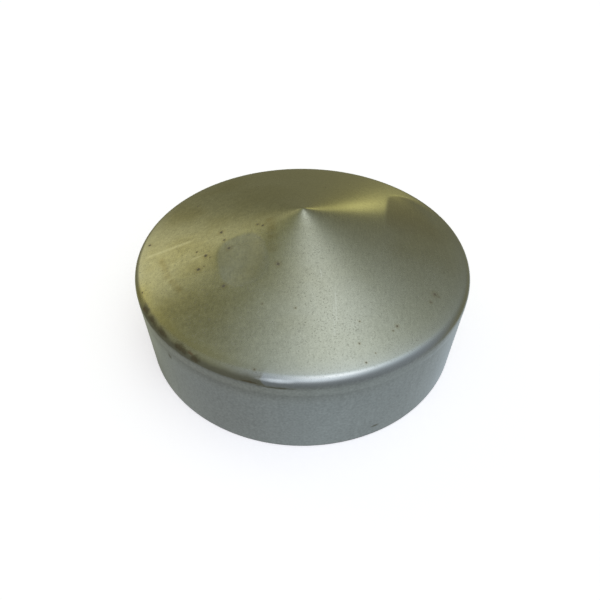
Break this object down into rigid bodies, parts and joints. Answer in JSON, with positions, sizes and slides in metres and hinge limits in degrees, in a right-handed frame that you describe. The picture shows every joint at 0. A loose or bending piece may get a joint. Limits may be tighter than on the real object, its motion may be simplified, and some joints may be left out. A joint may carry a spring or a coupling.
{
  "type": "fence post cap",
  "caption": "Shallow conical cap with a small peak, rounded shoulder and straight round skirt, drawn in one piece from bare sheet steel to fit over a round fence post.",
  "frame": {"origin": "centre of the open rim, on the cap's axis", "axes": "+Z along the cap's axis, from the open rim up to the peak; the cap is round, so +X and +Y are any two directions across it"},
  "size_m": [0.1732, 0.1732, 0.0742],
  "materials": {
    "drawn_steel": "bare mild steel, mill finish on the cone, die-rubbed on the skirt, light surface rust"
  },
  "bodies": {
    "root": {"cap_shell": "drawn_steel"}
  },
  "joints": []
}
